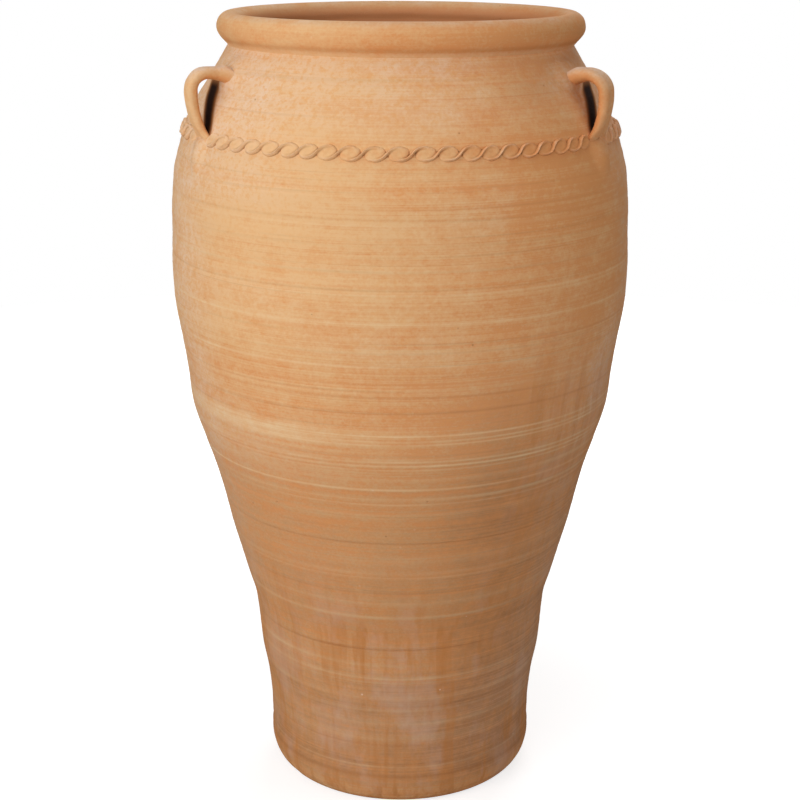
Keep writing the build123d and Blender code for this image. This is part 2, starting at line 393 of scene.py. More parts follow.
def wall_relief(angle, height):
    """Millimetres to add to the radius: swells + finger ridges + turning lines - grooves + smears at the handles."""
    drift = drifted(angle, height)
    swell = 0.55 * clouds(angle, height, 5, 70.0, 11) + 0.35 * bands(drift, 31.0, 12)
    ridges = 0.20 * bands(drift, 7.5, 13) * (0.7 + 0.3 * clouds(angle, height, 7, 40.0, 14))
    lines = 0.10 * bands(drift, 2.6, 15) * (0.6 + 0.4 * clouds(angle, height, 11, 25.0, 16))
    relief = swell + ridges + lines - SUNK_BY
    for number, (level, depth, half_width, middle, spread) in enumerate(GROOVES):
        below = drift - level
        lip = 0.45 * bump(below - 3.2 * half_width, 1.4 * half_width)
        fade = groove_fade(angle, middle, spread, GROOVE_SEED + number)
        relief = relief - depth * fade * (bump(below, half_width) - lip)
    return relief + handle_smears(angle, height)


def handle_smears(angle, height):
    """Clay dragged from a handle's two roots on to the wall: two low bells, wider than the strap."""
    smear = 0.0
    for handle in HANDLES.values():
        across = angle_apart(angle, handle["angle"]) * outer_radius(height)
        for level, tall, beyond, rise, power in SMEARS:
            wide = handle["width"] / 2 + beyond
            smear = smear + rise * np.clip(1 - (across / wide) ** 2 - ((height - level) / tall) ** 2, 0, 1) ** power
    return smear


sample = wall_relief(column_angles[None, :], np.arange(70, 900, 1.4)[:, None])
print("wall relief from", round(sample.min(), 2), "to", round(sample.max(), 2), "mm")

# %% [markdown]
# The jar is a little crooked: above the belly it leans to the right by a quarter of a degree, from nothing, so that
# the courses still meet.

# %% Lean of the upper jar
LEAN, LEAN_START, LEAN_FULL, CREST_FADE = 0.0044, 790.0, 900.0, 30.0


def settle(points):
    """Lean the upper jar: x grows with height, the right side sinks and the left rises, but not the crest."""
    x, y, z = points[..., 0], points[..., 1], points[..., 2]
    slant = LEAN * rises(z, LEAN_START, LEAN_FULL)
    tip = np.where(x < 0, np.clip((JAR_HEIGHT - z) / CREST_FADE, 0, 1), 1.0)
    return np.stack([x + slant * (z - LEAN_START), y, z - slant * x * tip], axis=-1)


print("lean at the rim:", round(LEAN * (JAR_HEIGHT - LEAN_START), 2), "mm")

# %% [markdown]
# Every piece is one grid, a section's points by steps along a path, closed on itself or by flat caps, and goes into
# the mesh whole. A fold sharper than fifty degrees keeps a crisp edge. Each point also carries seven tones, which
# the clay's material mixes its colours by.

# %% Grid to mesh
TONES = ("dry_and_painted_light", "slip", "salts_and_highlights", "damp_and_painted_shade", "drips", "shade", "inside")
SHARP_FOLD = 50


def to_points(angle, radius, height):
    """Cylinder to Cartesian: x = radius sin(angle), y = -radius cos(angle), z = height."""
    angle, radius, height = np.broadcast_arrays(angle, radius, height)
    return np.stack([radius * np.sin(angle), -radius * np.cos(angle), height], axis=-1)


def grid_quads(rows, columns, wrap_rows, wrap_columns):
    """Corner numbers of every quad of a grid, in the order right, up, left, so that right x up points outwards."""
    row = np.arange(rows if wrap_rows else rows - 1)[:, None]
    column = np.arange(columns if wrap_columns else columns - 1)[None, :]
    here, above, beside = row * columns, (row + 1) % rows * columns, (column + 1) % columns
    corners = (here + column, here + beside, above + beside, above + column)
    return np.stack(np.broadcast_arrays(*corners), axis=-1).reshape(-1, 4)


def make_piece(name, node, points, tones, material, wrap=(True, True), caps=()):
    """
    Put a grid into a new mesh object that stands in for a CAD node, on the jar's one body. Points are in
    millimetres, tones are one number per point (0 if not given), and caps are lists of corners.
    """
    flat = (settle(points).reshape(-1, 3) * MM).astype(np.float32)
    quads = grid_quads(*points.shape[:2], *wrap)
    mesh = bpy.data.meshes.new(name)
    mesh.vertices.add(len(flat))
    mesh.vertices.foreach_set("co", flat.ravel())
    corners = np.concatenate([quads.ravel(), *[np.asarray(cap) for cap in caps]]).astype(np.int32)
    sizes = np.concatenate([np.full(len(quads), 4), [len(cap) for cap in caps]]).astype(np.int32)
    starts = np.concatenate([[0], np.cumsum(sizes)[:-1]]).astype(np.int32)
    mesh.loops.add(len(corners))
    mesh.loops.foreach_set("vertex_index", corners)
    mesh.polygons.add(len(sizes))
    mesh.polygons.foreach_set("loop_start", starts)
    mesh.polygons.foreach_set("loop_total", sizes)
    mesh.update(calc_edges=True)
    mesh.validate()
    mesh.shade_smooth()
    mesh.set_sharp_from_angle(angle=math.radians(SHARP_FOLD))
    for word in TONES:
        values = np.broadcast_to(tones.get(word, 0.0), points.shape[:-1]).astype(np.float32)
        mesh.attributes.new(word, "FLOAT", "POINT").data.foreach_set("value", values.ravel())
    mesh.materials.append(material)
    piece = add_object(name, mesh)
    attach(piece, "root")
    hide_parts(node)
    print(name, "faces:", len(mesh.polygons), "highest:", round(float(flat[:, 2].max()) / MM, 1), "mm")


# %% [markdown]
# Six of the seven tones are worked out for every point of the outer wall: dry (the pale skin), slip (pale lines
# dragged round), salts (the bloom; on the rim, the bands and the straps also painted highlights), damp (darker
# patches, and painted shade at the right edge), drips (where water ran) and shade (painted shade: the cast shadow
# beside a strap, in the grooves, under the foot's edge and on the neck). The seventh marks the inside of the jar.

# %% Tones of the wall
SLIP_LINES = (
    # height, half width, strength, strongest side in degrees, reach round in degrees
    (738, 1.2, 0.55, -20, 150), (682, 1, 1, -20, 90), (650, 4, 0.15, 10, 200), (583, 5, 0.7, -54, 60),
    (588, 0.9, 0.5, 0, 140), (581, 0.8, 0.6, 8, 110), (576, 0.8, 0.5, 14, 100), (594, 2.5, 0.6, -50, 60),
    (552, 1, 0.7, 12, 150), (546, 0.9, 0.65, 20, 120), (540, 0.9, 0.5, 28, 100), (558, 5, 0.4, -55, 80),
    (526, 3, 0.26, 40, 110), (533, 5, 0.3, -60, 80), (510, 0.9, 1, -15, 130), (495, 1.6, 0.45, 30, 120),
    (487, 0.9, 0.4, 20, 120), (470, 4, 0.2, -30, 120), (378, 1.8, 0.26, 0, 160), (371, 0.9, 0.25, 10, 120),
    (400, 5, 0.15, 30, 160), (306, 1.8, 0.28, -10, 130), (330, 4, 0.18, 30, 130), (228, 2.5, 0.3, -55, 80),
    (208, 1.8, 0.36, 0, 150), (201, 0.9, 0.22, 5, 120), (176, 2.5, 0.25, 20, 150), (155, 1.4, 0.2, 30, 120),
    (133, 3, 0.25, 20, 150), (110, 4, 0.2, -30, 120), (64, 1.2, 0.26, 0, 140), (804, 1.4, 0.3, -30, 120),
    (860, 1.4, 0.25, 10, 150), (700, 2, 0.2, 30, 120), (775, 0.9, 0.4, 10, 120), (662, 0.9, 0.35, 20, 90),
)
# the straps with a painted shadow, a dark stripe in their lee, and the side it leans to
PAINTED_SHADOW_SIDES = {"handle_left": -1.0, "handle_right": 1.0}


def slip_tone(angle, height):
    """Pale slip dragged round by the rib: soft lines that waver and fade away from their strongest side."""
    drift = height + 1.2 * clouds(angle, height, 4, 120.0, 61)
    tone = 0.0
    for number, (level, half_width, strength, middle, spread) in enumerate(SLIP_LINES):
        fade = groove_fade(angle, middle, spread, SLIP_SEED + number)
        waver = 0.75 + 0.25 * clouds(angle, height, 40, 6.0, SLIP_EDGE_SEED + number)
        tone = np.maximum(tone, strength * fade * bump(drift - level, half_width) * waver)
    return np.clip(tone, 0, 1)


def wet_patch(angle, height):
    """An orange patch under the band on the right, where the jar stayed wet, with one crisp side."""
    apart = degrees_apart(angle) - 2.5 * bands(height, 30.0, 33)
    across = rises(apart, 25, 28) * falls(apart, 52, 62)
    return across * rises(height, 805, 850) * falls(height, 938, 972)


def dry_tone(angle, height):
    """How pale the skin is: more so with height and towards the left, and least in the wet patch."""
    apart, wet = degrees_apart(angle), wet_patch(angle, height)
    to_right = 1 - 0.85 * rises(apart, -25, 40) * not_behind(apart)
    pale = (0.38 + 0.62 * rises(height, 470, 900)) * to_right + 0.08 * clouds(angle, height, 7, 90.0, 30)
    pale = pale - 0.13 * bump(height - 600, 95) * bump(apart, 42)
    return np.clip(pale * (1 - 0.9 * wet) - 0.1 * wet, 0, 1)


def salts_tone(angle, height):
    """Where salt blooms: under the rim and about the handles, down both sides, and a little near the foot."""
    apart = degrees_apart(angle)
    side = np.abs(apart)
    dry_side = 1 - 0.75 * rises(apart, 12, 34) * falls(apart, 52, 62)
    neck = (0.34 * rises(height, 950, 1000) + 0.16 * rises(height, 1026, 1044)) * dry_side

    # on the shoulder: beside and under each handle, round its upper root, and the whole left
    start = np.where(apart > 0, 50, 28)
    handles = (0.60 * bump(height - 980, 26) + 0.22 * bump(height - 902, 22)) * rises(side, start, start + 20)
    roots = np.where(apart > 0, 0.50, 0.70) * bump(height - 1022, 16) * bump(side - 53, 7)
    shoulder = 0.26 * rises(height, 860, 900) * rises(-apart, 14, 38)

    # down the left side, along the middle joint, and down the right side, where it starts closer in near the foot
    left = 0.70 * rises(-apart, 44, 72) * rises(height, 200, 360)
    joint = 0.42 * bump(height - 552, 40) * bump(apart + 55, 20) + 0.12 * bump(height - 600, 90) * bump(apart - 34, 18)
    start = np.interp(height, (150, 230, 600, 760), (16, 35, 36, 58))
    right = 0.60 * rises(apart, start, start + 24) * rises(height, 80, 160)

    # over the foot, and in loose patches all over
    over_foot = 0.40 * bump(height - 135, 50) * bump(apart - 30, 45)
    over_foot = over_foot * rises(clouds(angle, height, 9, 70.0, 31), -1.0, 0.6)
    patches = 0.12 * rises(clouds(angle, height, 11, 55.0, 32), 0.0, 0.9)

    behind = rises(side, 105, 150)
    seen = (handles + roots + shoulder + left + joint + right) * (1 - behind)
    bloom = 0.04 + neck + seen + 0.16 * behind + over_foot + patches
    return np.clip(bloom, 0, 1) * (1 - 0.9 * wet_patch(angle, height))


def damp_tone(angle, height):
    """Darker clay: the lower half, more so near the foot and on the right, and painted shade at the right edge; the
    lowest edge is free of it again.
    """
    apart = degrees_apart(angle)
    low = 0.38 * falls(height, 380, 700) + 0.12 * falls(height, 190, 225) + 0.18 * falls(height, 40, 120)
    right = 0.17 * falls(height, 450, 720) + 0.16 * falls(height, 230, 330)
    right = right * rises(apart, 2, 36) * not_behind(apart)
    streak = 0.15 * bump(apart - 26 - 4 * bands(height, 45.0, 37), 9.0)
    streak = streak * rises(height, 380, 470) * falls(height, 600, 700)
    # painted shade along the right edge of the jar, then a darker patch on the shoulder to the right
    edge = 0.16 * rises(apart, 60, 74) * not_behind(apart)
    edge = edge + 0.16 * bump(height - 1012, 17) * bump(apart - 40, 9)
    ground = 1 - 0.95 * falls(height, 14, 55)
    return np.clip(low + right + streak + edge, 0, 1) * (1 - 0.8 * wet_patch(angle, height)) * ground


def drip_tone(angle, height):
    """Where water ran down the jar: everywhere near the foot, fading out upwards, and further up on the right."""
    apart = degrees_apart(angle)
    right = 0.5 * rises(apart, 18, 40) * not_behind(apart) * falls(height, 560, 760)
    drips = np.clip(falls(height, 210, 430) + right, 0, 1)
    return drips * (0.66 + 0.4 * clouds(angle, height, 8, 120.0, 35))


def painted_strap_shadow(angle, height, handle, side):
    """A painted shadow, a dark stripe beside a strap that leans out and widens upwards: exp of minus (distance / half
    width)^5.
    """
    climb = np.clip((height - BAND_LEVEL) / 66, 0, 1.2)
    off = side * degrees_apart(angle, handle["angle"]) - (-2.2 + 11.5 * climb**1.25)
    stripe = np.exp(-((np.abs(off) / (1.4 + 3.7 * climb**0.8)) ** 5))
    return stripe * rises(height, 944, 954) * falls(height, 1006, 1026)


def shade_tone(angle, height):
    """Painted shade: along the grooves, the cast shadow beside both front straps, on the neck at the right, and under
    the foot's edge.
    """
    # painted shade under the foot's edge, where it meets the floor
    drift, tone = drifted(angle, height), 0.42 * falls(height, 0.5, 4.5)
    # painted shade in each groove
    for number, (level, depth, half_width, middle, spread) in enumerate(GROOVES):
        fade = np.clip(groove_fade(angle, middle, spread, GROOVE_SEED + number), 0, 1)
        tone = np.maximum(tone, 0.24 * min(depth, 1.0) * fade * bump(drift - level, 0.9 * half_width))
    # the painted cast shadow beside each front strap
    for name, side in PAINTED_SHADOW_SIDES.items():
        tone = np.maximum(tone, painted_strap_shadow(angle, height, HANDLES[name], side))
    # painted shade on the neck above the right root
    return np.maximum(tone, 0.15 * bump(height - 1040, 11) * bump(degrees_apart(angle, 66), 10))


TONE_MAKERS = dict(zip(TONES, (dry_tone, slip_tone, salts_tone, damp_tone, drip_tone, shade_tone)))
INSIDE_TONES = {"damp_and_painted_shade": 0.4, "inside": 1.0}
print("tones of the outer wall:", ", ".join(TONE_MAKERS))


# %% [markdown]
# Fired coarse clay is matte. Its colour is a mix of a pale sun-dried skin and a richer clay below, with turning
# lines drawn by a noise that is squeezed in height. Salts (with painted highlights), freckles, damp (with painted
# shade), slip and painted shade are laid over it one by one, each where its tone says. The surface itself is a
# bump of the same noises.

# %% Terracotta
PALE_CLAY = (0.82, 0.50, 0.245, 1)
RICH_CLAY = (0.765, 0.333, 0.125, 1)
# damp clay, which also carries painted shade at the right edge and under the straps, and colours the pits
DAMP_AND_SHADED_CLAY = (0.44, 0.20, 0.085, 1)
WET_CLAY = (0.56, 0.212, 0.060, 1)
INNER_CLAY = (0.63, 0.258, 0.115, 1)
# salts, which also carry the painted highlights on the crests and the tops of the straps
SALT_AND_HIGHLIGHT_COLOUR = (0.85, 0.62, 0.46, 1)
SLIP_COLOUR = (0.92, 0.74, 0.45, 1)
FRECKLE_COLOUR = (0.80, 0.38, 0.13, 1)
# a brown for the rib's scratches and for painted shade in grooves and creases and under the foot's edge
GROOVE_COLOUR = (0.36, 0.140, 0.050, 1)
VEIL_COLOUR = (0.66, 0.44, 0.34, 1)
# painted shadow: near black, for the cast shadow beside each front strap
PAINTED_SHADOW_COLOUR = (0.012, 0.004, 0.002, 1)
NOISES = {
    # marks per metre, stretch of each axis, detail, roughness, and a shift, so that no two noises are alike
    "cloud": (6.0, (1, 1, 1.6), 4, 0.55, (0, 0, 0)),
    "fine_lines": (1.0, (2.2, 2.2, 420), 2, 0.6, (0, 0, 0)),
    "broad_lines": (1.0, (1.1, 1.1, 75), 3, 0.6, (3, 1, 7)),
    "hair_lines": (1.0, (1.8, 1.8, 900), 1, 0.5, (2, 8, 5)),
    "scratch": (1.0, (1.6, 1.6, 260), 1, 0.5, (7, 4, 2)),
    "blotch": (24.0, (1, 1, 1.4), 4, 0.6, (5, 2, 1)),
    "mottle": (85.0, (1, 1, 1.35), 3, 0.6, (1, 9, 4)),
    "spot": (150.0, (1, 1, 1.1), 4, 0.72, (8, 3, 6)),
    "speckle": (260.0, (1, 1, 1.2), 2, 0.6, (4, 4, 9)),
    "grain": (900.0, (1, 1, 1), 2, 0.6, (0, 0, 0)),
    "trails": (1.0, (48, 48, 3.0), 2, 0.55, (9, 3, 5)),
    "veil": (1.0, (16, 16, 9.0), 4, 0.65, (6, 8, 1)),
    "runs": (1.0, (130, 130, 8.0), 3, 0.6, (2, 6, 3)),
}
NOISE_RANGE = (0.3, 0.7)
# how far each noise pushes the skin towards dry, and the damp towards dark
DRY_PUSHES = {
    "broad_lines": 0.16, "fine_lines": 0.24, "hair_lines": 0.20, "blotch": 0.26, "mottle": 0.20, "speckle": 0.22,
}
DAMP_PUSHES = {"broad_lines": 0.16, "fine_lines": 0.22, "hair_lines": 0.18, "mottle": 0.22}
# crisp pale lines inside the soft ones, drawn from the height alone, in millimetres
CRISP_LINES = (682.0, 588.4, 581.2, 576.0, 552.0, 546.2, 510.0, 495.0, 738.0)
CRISP_HALF_WIDTH = 0.95
FRECKLES = np.array([0.25, 0.55])
PIT_SCALE, BUMP_STRENGTH, BUMP_DEPTH = 55.0, 0.6, 0.0009


def noise(place, scale, stretch, detail, roughness, shift):
    """Noise of the object's own place: stretch multiplies each axis, and scale is marks per metre."""
    tree = place.id_data
    mapped = add_node(tree, "Mapping", {"Vector": place, "Scale": stretch, "Location": shift}).outputs[0]
    settings = {"Vector": mapped, "Scale": scale, "Detail": detail, "Roughness": roughness}
    return add_node(tree, "TexNoise", settings).outputs["Fac"]


def masked(value, *masks):
    """A value times others, each of them mapped by `steps`."""
    for mask in masks:
        value = times(value, steps(*mask))
    return value


def push(value, mark, pushes, line_strength):
    """Push a value up and down by noises, each by its own amount, and the turning lines by a share of theirs."""
    for word, amount in pushes.items():
        amount = amount * line_strength if word.endswith("lines") else amount
        value = plus(value, steps(mark[word], *NOISE_RANGE, -amount, amount))
    return value


def height_lines(place):
    """1 on each crisp line and 0 half its width away: a ramp over the height as a share of the jar's."""
    level = add_node(place.id_data, "SeparateXYZ", {"Vector": place}).outputs[2]
    ring = add_node(place.id_data, "ValToRGB", {"Fac": times(level, 1 / (JAR_HEIGHT * MM))})
    ring.color_ramp.elements[0].color = ring.color_ramp.elements[1].color = (0, 0, 0, 1)
    for middle in CRISP_LINES:
        for offset, value in ((-CRISP_HALF_WIDTH, 0.0), (0.0, 1.0), (CRISP_HALF_WIDTH, 0.0)):
            ring.color_ramp.elements.new((middle + offset) / JAR_HEIGHT).color = (value, value, value, 1)
    return ring.outputs[0]


def make_terracotta(name, line_strength=1.0, freckles=1.0):
    """The clay as one graph. line_strength scales the turning lines and freckles the orange spots."""
    material = bpy.data.materials.new(name)
    tree = new_tree(material)
    place = add_node(tree, "TexCoord").outputs["Object"]
    tone = {word: add_node(tree, "Attribute", attribute_name=word).outputs["Fac"] for word in TONES}
    mark = {word: noise(place, *row) for word, row in NOISES.items()}

    # dry skin against richer clay
    dryness = push(steps(mark["cloud"], 0.35, 0.65, -0.12, 0.12), mark, DRY_PUSHES, line_strength)
    colour = tint(plus(dryness, tone["dry_and_painted_light"]), RICH_CLAY, PALE_CLAY)

    # how much of each mark there is: salts, damp, running water, crisp lines, scratches, pits and grits
    cloudy = plus(steps(mark["mottle"], *NOISE_RANGE, 0.0, 0.5), steps(mark["blotch"], *NOISE_RANGE, 0.0, 0.5))
    salts_and_highlights = masked(tone["salts_and_highlights"], (cloudy, 0.15, 0.85, 0.20, 0.85), (mark["speckle"], 0.3, 0.62, 0.65, 1.0))
    damp_and_painted_shade = push(steps(mark["blotch"], *NOISE_RANGE, 0.72, 1.28), mark, DAMP_PUSHES, line_strength)
    water = plus(steps(mark["runs"], 0.44, 0.66, 0.0, 0.40), steps(mark["trails"], 0.51, 0.59, 0.0, 0.62))
    slip = masked(tone["slip"], (mark["fine_lines"], 0.36, 0.58, 0.50, 0.95), (mark["blotch"], 0.35, 0.60, 0.78, 1.0))
    crisp = masked(height_lines(place), (tone["slip"], 0.02, 0.50, 0.0, 0.62 * line_strength))
    crisp = masked(crisp, (mark["blotch"], 0.36, 0.56, 0.45, 1.0))
    scratches = steps(mark["scratch"], 0.62, 0.74, 0.0, 0.13 * line_strength)
    scratches = masked(scratches, (mark["cloud"], 0.35, 0.6), (tone["inside"], 1.0, 0.0))
    cell = add_node(tree, "TexVoronoi", {"Vector": place, "Scale": PIT_SCALE, "Randomness": 1.0}, feature="F1")
    pick = add_node(tree, "SeparateColor", {"Color": cell.outputs["Color"]}).outputs[0]
    pits = masked(steps(cell.outputs["Distance"], 0.085, 0.045), (pick, 0.93, 0.95))
    grits = masked(steps(cell.outputs["Distance"], 0.105, 0.06), (pick, 0.12, 0.11))

    for share, over in (
        # salts with painted highlights on crests and strap tops, a pale wash with cloudy edges, and freckles of
        # iron-rich clay, more of them among the salts
        (salts_and_highlights, SALT_AND_HIGHLIGHT_COLOUR),
        (masked(steps(mark["spot"], 0.50, 0.62), (tone["salts_and_highlights"], 0.05, 0.5, *FRECKLES * freckles)), FRECKLE_COLOUR),
        # damp clay, with painted shade at the right edge and under the straps, trails of water down the wall, dust
        # that dried beside them, and salts that came later
        (times(tone["damp_and_painted_shade"], damp_and_painted_shade), DAMP_AND_SHADED_CLAY),
        (times(tone["drips"], water), WET_CLAY),
        (masked(tone["drips"], (mark["veil"], 0.49, 0.66, 0.0, 0.56)), VEIL_COLOUR),
        (masked(salts_and_highlights, (tone["damp_and_painted_shade"], 0.35, 0.9, 0.0, 0.28)), SALT_AND_HIGHLIGHT_COLOUR),
        (times(tone["inside"], 0.85), INNER_CLAY),
        # slip in soft lines and crisp ones, and thin dark scratches from the rib
        (slip, SLIP_COLOUR),
        (crisp, SLIP_COLOUR),
        (scratches, GROOVE_COLOUR),
        # dark pits, pale grits, and painted shade in two steps: brown in grooves and creases and under the foot's
        # edge, and near black for the cast shadow beside a strap
        (times(pits, 0.6), DAMP_AND_SHADED_CLAY),
        (times(masked(grits, (tone["drips"], 0.2, 0.8, 0.25, 1.0)), 0.7), SALT_AND_HIGHLIGHT_COLOUR),
        (steps(tone["shade"], 0.0, 0.5), GROOVE_COLOUR),
        (steps(tone["shade"], 0.5, 1.0), PAINTED_SHADOW_COLOUR),
    ):
        colour = tint(share, colour, over)

    # surface: grain, turning lines, crusts of salt and pits, as shares of the bump's depth
    height = times(mark["grain"], 0.30)
    for part, share in (
        (mark["fine_lines"], 0.55 * line_strength), (mark["broad_lines"], 0.35 * line_strength),
        (scratches, -1.0), (mark["speckle"], 0.40), (mark["mottle"], 0.45), (pits, -1.2),
    ):
        height = plus(height, times(part, share))
    relief = add_node(tree, "Bump", {"Height": height, "Strength": BUMP_STRENGTH, "Distance": BUMP_DEPTH})
    rough = steps(mark["speckle"], *NOISE_RANGE, 0.86, 0.98)
    surface = {"Base Color": colour, "Roughness": rough, "Normal": relief.outputs[0], "Specular IOR Level": 0.03}
    clay = add_node(tree, "BsdfPrincipled", surface)
    add_node(tree, "OutputMaterial", {"Surface": clay.outputs[0]})
    return material


wall_clay = make_terracotta("terracotta_wall")
rim_clay = make_terracotta("terracotta_rim", 0.50, 0.35)
hand_clay = make_terracotta("terracotta_handwork", 0.10, 0.5)
print("materials:", wall_clay.name, rim_clay.name, hand_clay.name)


# %% [markdown]
# A wall course is a closed ring. Its section runs up the outer face, in over the sloping joint, down the inner face
# and back. Neighbours meet point for point, because the relief depends on angle and height alone.

# %% Wall courses
OUTER_STEP, INNER_STEP, MOST_ROWS = 1.2, 7.0, 196
COURSES = (
    ("lower_course", JOINT_HEIGHTS[0], JOINT_HEIGHTS[1], JOINT_RISE),
    ("middle_course", JOINT_HEIGHTS[1], JOINT_HEIGHTS[2], JOINT_RISE),
    ("belly_course", JOINT_HEIGHTS[2], JOINT_HEIGHTS[3], JOINT_RISE),
    ("shoulder_course", JOINT_HEIGHTS[3], GROOVE_HEIGHT, 0.0),
)
angle = column_angles[None, :]


def inner_relief(angle, height):
    """Finger ridges inside: a wave of height that winds round once per turn, and a slow swell."""
    winding = 0.9 * np.sin(2 * math.pi * (height / 13.0 - angle / (2 * math.pi)))
    return winding * (0.6 + 0.4 * clouds(angle, height, 5, 50.0, 21)) + 0.8 * clouds(angle, height, 4, 60.0, 22)


def make_wall(node, up, outer, inner):
    """A closed ring of an outer grid, with rows at the heights `up`, and an inner grid, with the tones of each."""
    tones = {}
    for word in TONES:
        outside = TONE_MAKERS[word](angle, up) if word in TONE_MAKERS else 0.0
        both = ((outside, outer), (INSIDE_TONES.get(word, 0.0), inner))
        tones[word] = np.concatenate([np.broadcast_to(value, grid.shape[:2]) for value, grid in both])
    make_piece(node + "_wall", node, np.concatenate([outer, inner]), tones, wall_clay)


for node, low, high, rise in COURSES:
    up = np.linspace(low, high, min(int((high - low) / OUTER_STEP), MOST_ROWS))[:, None]
    down = np.linspace(high + rise, low + JOINT_RISE, int((high - low) / INNER_STEP))[:, None]
    outer = to_points(angle, outer_radius(up) + wall_relief(angle, up), up)
    inner = to_points(angle, inner_radius(down) + inner_relief(angle, down), down)
    make_wall(node, up, outer, inner)


# %% [markdown]
# The foot has a rounded edge that sits on the ground by a narrow ring, and a waist where the walls start to open.
# Inside, a cove leads from the floor slab up into the wall.

# %% Foot course
EDGE_ROWS, WAIST_ROWS, WALL_ROWS, INNER_ROWS, COVE_ROWS = 30, 14, 132, 22, 10
WAIST_FILL, NICK_DEPTH, RELIEF_FROM, INNER_RELIEF_FROM = 2.6, 1.6, 30.0, 90.0


def blend_curve(*ends_and_pulls, count):
    """Points of a cubic from one (radius, height) to another, given as start, start pull, end and end pull."""
    return cubic(np.linspace(0, 1, count)[:, None], *(np.array(value, dtype=float) for value in ends_and_pulls))


def quarter(turn, middle, reach, rise):
    """Points of a quarter ellipse about (radius, height) as rows, from sideways (turn 0) to straight up."""
    return np.stack([middle[0] + reach * np.cos(turn), middle[1] + rise * np.sin(turn)], axis=1)


def foot_section():
    """The foot's section as (radius, height) rows: up the outer face, and down the inner one to the ground."""
    turn = np.linspace(-math.pi / 2, 0, EDGE_ROWS)
    edge = quarter(turn, (REST_RADIUS, FOOT_EDGE), FOOT_RADIUS - REST_RADIUS, FOOT_EDGE)
    waist = blend_curve((FOOT_RADIUS, FOOT_EDGE), (0, 20), (WAIST_RADIUS, WAIST_HEIGHT), (0, 20), count=WAIST_ROWS)
    up = np.linspace(WAIST_HEIGHT, JOINT_HEIGHTS[0], WALL_ROWS)[1:]
    outer = np.concatenate([edge, waist[1:], np.stack([outer_radius(up), up], axis=1)])
    outer[:, 0] += WAIST_FILL * bump(outer[:, 1] - 68, 14) * rises(outer[:, 1], 46, 60)
    down = np.linspace(JOINT_HEIGHTS[0] + JOINT_RISE, WAIST_HEIGHT + WALL / 2, INNER_ROWS)
    inner = np.stack([inner_radius(down), down], axis=1)
    cove = blend_curve(inner[-1], (0, -50), (FLOOR_RADIUS_INSIDE, FLOOR_THICKNESS), (-30, 0), count=COVE_ROWS)
    return outer, np.concatenate([inner, cove[1:], [[FLOOR_RADIUS_INSIDE, 0.0]]])


outer, inside = foot_section()
up, down = outer[:, 1:], inside[:, 1:]
nicks = NICK_DEPTH * rises(clouds(angle, up, 90, 9.0, 23), 0.35, 1.0) * bump(up - 5, 6)
outer_relief = rises(up, 0.0, RELIEF_FROM) * wall_relief(angle, up) - nicks
outer_points = to_points(angle, outer[:, :1] + outer_relief, up)
inner_points = to_points(angle, inside[:, :1] + (down > INNER_RELIEF_FROM) * inner_relief(angle, down), down)
make_wall("foot_course", up, outer_points, inner_points)

# %% [markdown]
# The floor was thrown first, as a slab, and the hand left a spiral in it. The drain hole was cut with a wire, and
# its edges are bevelled.

# %% Floor slab
SLAB_RADIUS, DRAIN_RADIUS, BEVEL = FLOOR_RADIUS_INSIDE - 0.1, 17.5, 2.0
SLAB_ROWS, SPIRAL_DEPTH, SPIRAL_PITCH = 90, 0.8, 12.0

top = np.linspace(SLAB_RADIUS, DRAIN_RADIUS + BEVEL, SLAB_ROWS)
section = np.concatenate([
    [[SLAB_RADIUS, 0.0]],
    np.stack([top, np.full(SLAB_ROWS, FLOOR_THICKNESS)], axis=1),
    [[DRAIN_RADIUS, FLOOR_THICKNESS - BEVEL], [DRAIN_RADIUS, BEVEL], [DRAIN_RADIUS + BEVEL, 0.0]],
])
radius, height = section[:, :1], section[:, 1:]
spiral = SPIRAL_DEPTH * np.sin(2 * math.pi * (radius / SPIRAL_PITCH - angle / (2 * math.pi)))
spiral = spiral * rises(radius, 24, 34) * falls(radius, 138, 148)
points = to_points(angle, radius, height + (spiral - SPIRAL_DEPTH) * (height >= FLOOR_THICKNESS))
make_piece("floor_slab", "floor_disc", points, INSIDE_TONES, wall_clay)

# %% [markdown]
# The rim is a thick coil rolled outwards over the neck. Its section is the CAD's: a short undercut, a full bulge, a
# round crest, and an inner side that leans in to a narrow throat. Painted shade darkens a crease in the throat and a
# line under the bulge; salts and a painted highlight lighten the crest.

# %% Rim roll
RIM_RADIUS, CREST_RADIUS, MOUTH_RADIUS, BULGE_HEIGHT, CREST_RISE = 250.0, 233.0, 214.0, 1080.0, 20.0
LIP_ROWS, UNDER_ROWS, TURN_ROWS, THROAT_ROWS = 6, 16, 26, 14


def rim_section():
    """Groove, lip, bulge, crest, mouth and throat: a line, a cubic, two quarter ellipses and a line."""
    lip = np.linspace((GROOVE_RADIUS, GROOVE_HEIGHT), (GROOVE_RADIUS + 5, GROOVE_HEIGHT + 7), LIP_ROWS)
    under = blend_curve(lip[-1], (15, 15), (RIM_RADIUS, BULGE_HEIGHT), (0, 20), count=UNDER_ROWS)[1:]
    turn = np.linspace(0, math.pi / 2, TURN_ROWS)[1:]
    over = quarter(turn, (CREST_RADIUS, BULGE_HEIGHT), RIM_RADIUS - CREST_RADIUS, CREST_RISE)
    inward = quarter(turn[-2::-1], (CREST_RADIUS, BULGE_HEIGHT), MOUTH_RADIUS - CREST_RADIUS, CREST_RISE)
    throat_end = (float(inner_radius(GROOVE_HEIGHT)), GROOVE_HEIGHT)
    throat = np.linspace((MOUTH_RADIUS, BULGE_HEIGHT), throat_end, THROAT_ROWS)
    return np.concatenate([lip, under, over, inward, throat])


section = rim_section()
radius, height = section[:, :1], section[:, 1:]
outer_side, inner_side = radius > 230, radius < 220

